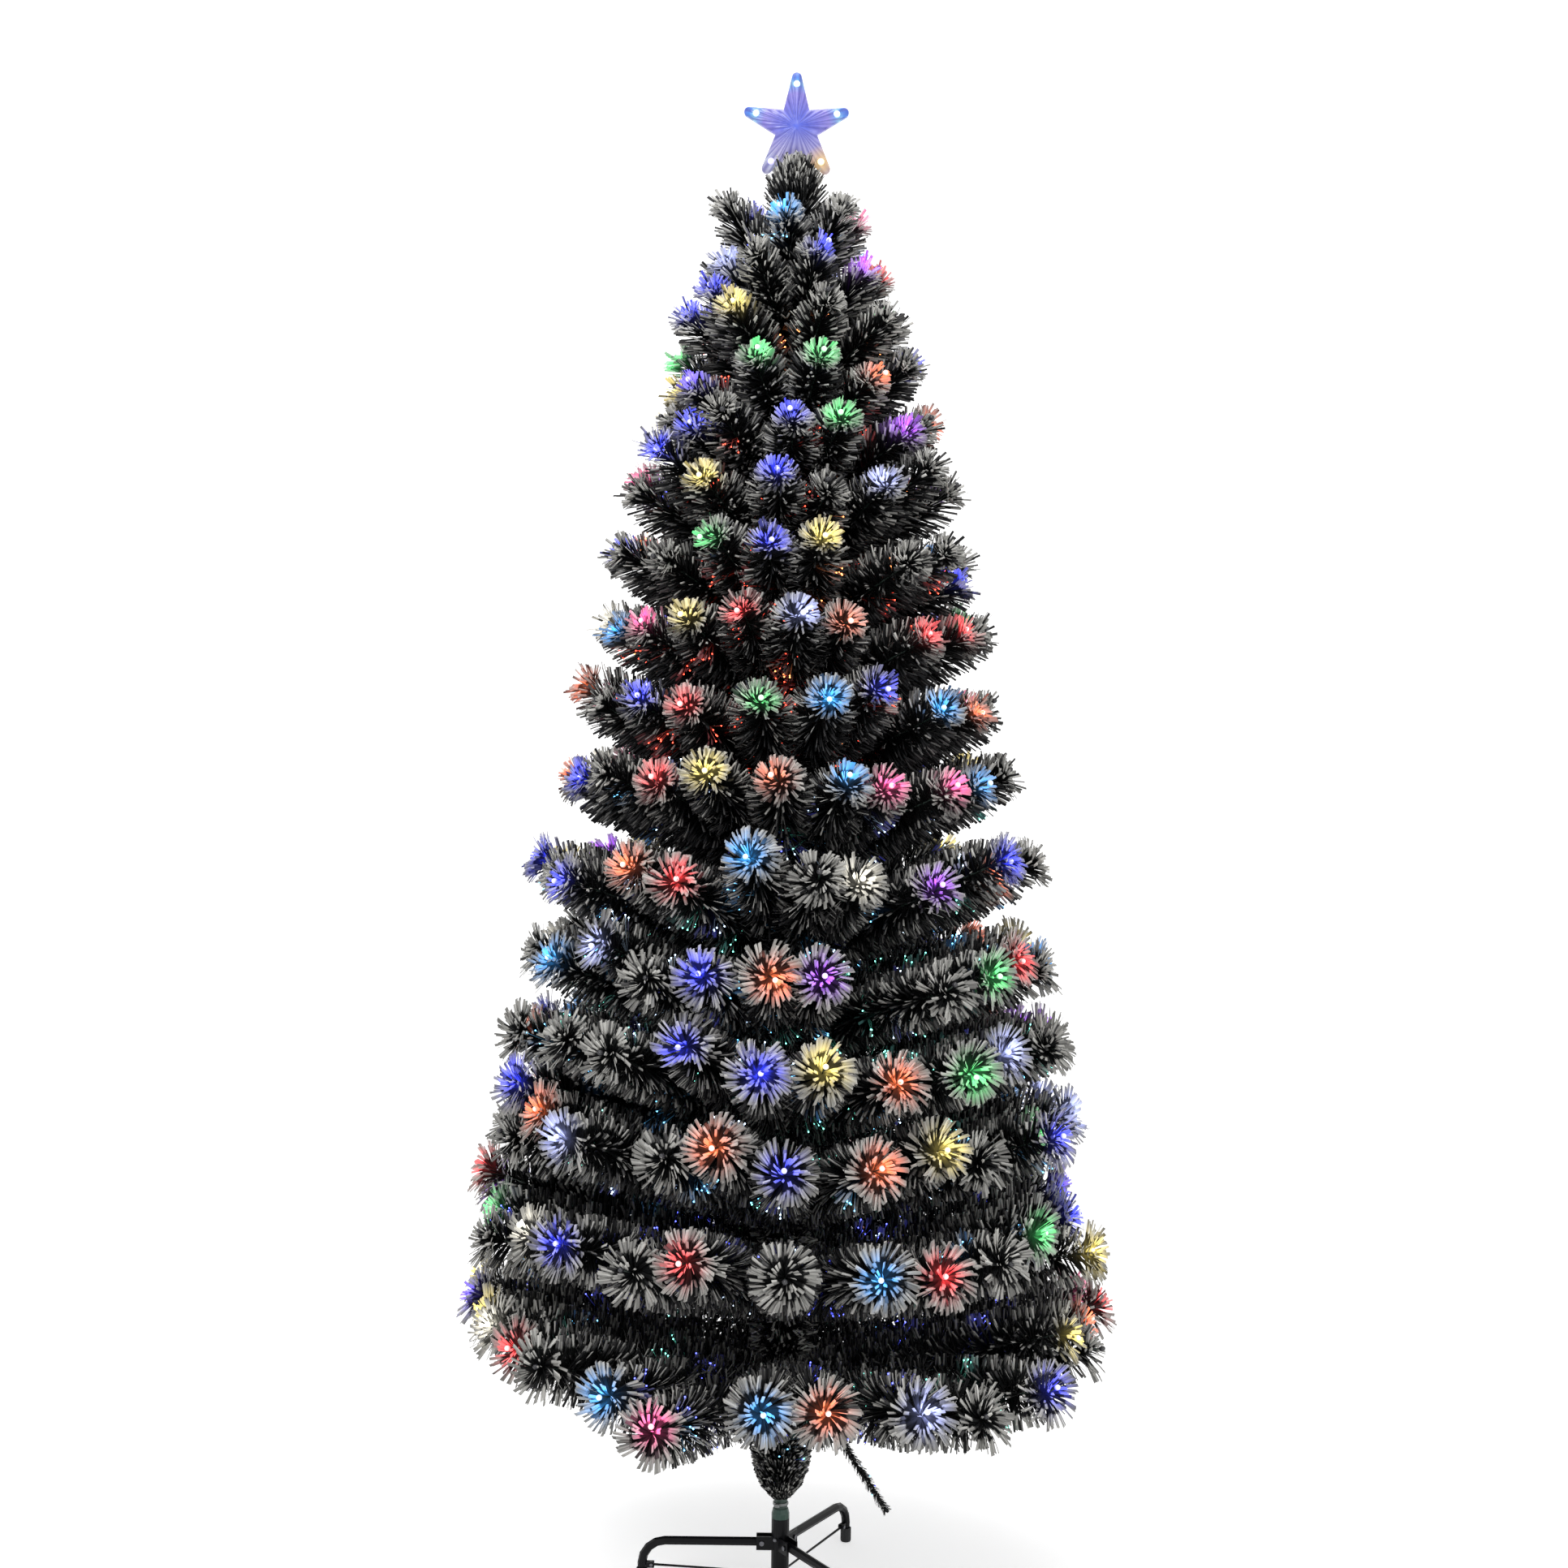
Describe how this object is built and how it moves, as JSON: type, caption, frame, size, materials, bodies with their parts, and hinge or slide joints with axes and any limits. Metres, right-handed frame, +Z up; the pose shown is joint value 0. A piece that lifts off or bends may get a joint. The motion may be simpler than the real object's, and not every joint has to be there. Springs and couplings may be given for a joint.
{
  "type": "fiber optic christmas tree",
  "caption": "Artificial christmas tree of frosted bottle-brush branch tips in tiers on a sectional pole, with a lit star on top and a folding tripod stand.",
  "frame": {"origin": "on the floor on the trunk's axis", "axes": "+Z up the trunk, +X to the picture's right, -Y to the picture's viewer; one leg points to -X"},
  "size_m": [0.9198, 0.9198, 2.1],
  "materials": {
    "black_paint": "satin",
    "trunk_paint": "satin",
    "bright_steel": "satin",
    "black_rubber": "matte",
    "green_plastic": "satin",
    "white_nylon": "satin",
    "frosted_needles": "matte",
    "clear_plastic": "gloss",
    "lamp_plastic": "gloss"
  },
  "bodies": {
    "stand": {"stand_sleeve": "black_paint", "sleeve_bush": "green_plastic", "leg_pin_back": "bright_steel", "leg_pin_left": "bright_steel", "leg_pin_front": "bright_steel"},
    "leg_back": {"leg_back": "black_paint", "foot_cap_back": "black_rubber", "brace_pin_back": "bright_steel"},
    "leg_left": {"leg_left": "black_paint", "foot_cap_left": "black_rubber", "brace_pin_left": "bright_steel"},
    "leg_front": {"leg_front": "black_paint", "foot_cap_front": "black_rubber", "brace_pin_front": "bright_steel"},
    "brace_back": {"brace_back": "black_paint"},
    "brace_left": {"brace_left": "black_paint"},
    "brace_front": {"brace_front": "black_paint"},
    "locking_screw": {"locking_screw": "bright_steel"},
    "trunk_lower": {"trunk_lower": "trunk_paint", "cable_tie": "white_nylon", "trunk_wrap": "frosted_needles", "loose_branch": "frosted_needles", "tier_01": "frosted_needles", "tier_02": "frosted_needles", "tier_03": "frosted_needles", "tier_04": "frosted_needles", "tier_05": "frosted_needles"},
    "trunk_middle": {"trunk_middle": "trunk_paint", "tier_06": "frosted_needles", "tier_07": "frosted_needles", "tier_08": "frosted_needles", "tier_09": "frosted_needles", "tier_10": "frosted_needles"},
    "trunk_upper": {"trunk_upper": "trunk_paint", "tier_11": "frosted_needles", "tier_12": "frosted_needles", "tier_13": "frosted_needles", "tier_14": "frosted_needles", "tier_15": "frosted_needles", "tier_16": "frosted_needles", "top_brush": "frosted_needles"},
    "star": {"star_socket": "white_nylon", "star_front_shell": "clear_plastic", "star_back_shell": "clear_plastic", "star_led_string": "lamp_plastic"}
  },
  "joints": [
    {"name": "leg_back_fold", "type": "hinge", "parent": "stand", "child": "leg_back", "pos_m": [0.013, 0.02252, 0.06], "axis": [0.866, -0.5, 0], "range_deg": [0, 75]},
    {"name": "leg_left_fold", "type": "hinge", "parent": "stand", "child": "leg_left", "pos_m": [-0.026, 0, 0.06], "axis": [0, 1, 0], "range_deg": [0, 75]},
    {"name": "leg_front_fold", "type": "hinge", "parent": "stand", "child": "leg_front", "pos_m": [0.013, -0.02252, 0.06], "axis": [-0.866, -0.5, 0], "range_deg": [0, 75]},
    {"name": "brace_back_swing", "type": "hinge", "parent": "leg_back", "child": "brace_back", "pos_m": [0.0905, 0.15675, 0.0258], "axis": [-0.866, 0.5, 0], "range_deg": [0, 11.5]},
    {"name": "brace_left_swing", "type": "hinge", "parent": "leg_left", "child": "brace_left", "pos_m": [-0.181, 0, 0.0258], "axis": [0, -1, 0], "range_deg": [0, 11.5]},
    {"name": "brace_front_swing", "type": "hinge", "parent": "leg_front", "child": "brace_front", "pos_m": [0.0905, -0.15675, 0.0258], "axis": [0.866, 0.5, 0], "range_deg": [0, 11.5]},
    {"name": "locking_screw_turn", "type": "hinge", "parent": "stand", "child": "locking_screw", "pos_m": [0, 0, 0.066], "axis": [-0.5446, -0.8387, 0], "range_deg": [0, 720]},
    {"name": "trunk_lower_lift", "type": "slide", "parent": "stand", "child": "trunk_lower", "axis": [0, 0, 1], "range_m": [0, 0.1]},
    {"name": "trunk_middle_lift", "type": "slide", "parent": "trunk_lower", "child": "trunk_middle", "axis": [0, 0, 1], "range_m": [0, 0.06]},
    {"name": "trunk_upper_lift", "type": "slide", "parent": "trunk_middle", "child": "trunk_upper", "axis": [0, 0, 1], "range_m": [0, 0.06]},
    {"name": "star_lift", "type": "slide", "parent": "trunk_upper", "child": "star", "axis": [0, 0, 1], "range_m": [0, 0.03]}
  ],
  "couplings": [
    {"joint": "brace_back_swing", "follows": "leg_back_fold", "ratio": 0.15333},
    {"joint": "brace_left_swing", "follows": "leg_left_fold", "ratio": 0.15333},
    {"joint": "brace_front_swing", "follows": "leg_front_fold", "ratio": 0.15333}
  ]
}
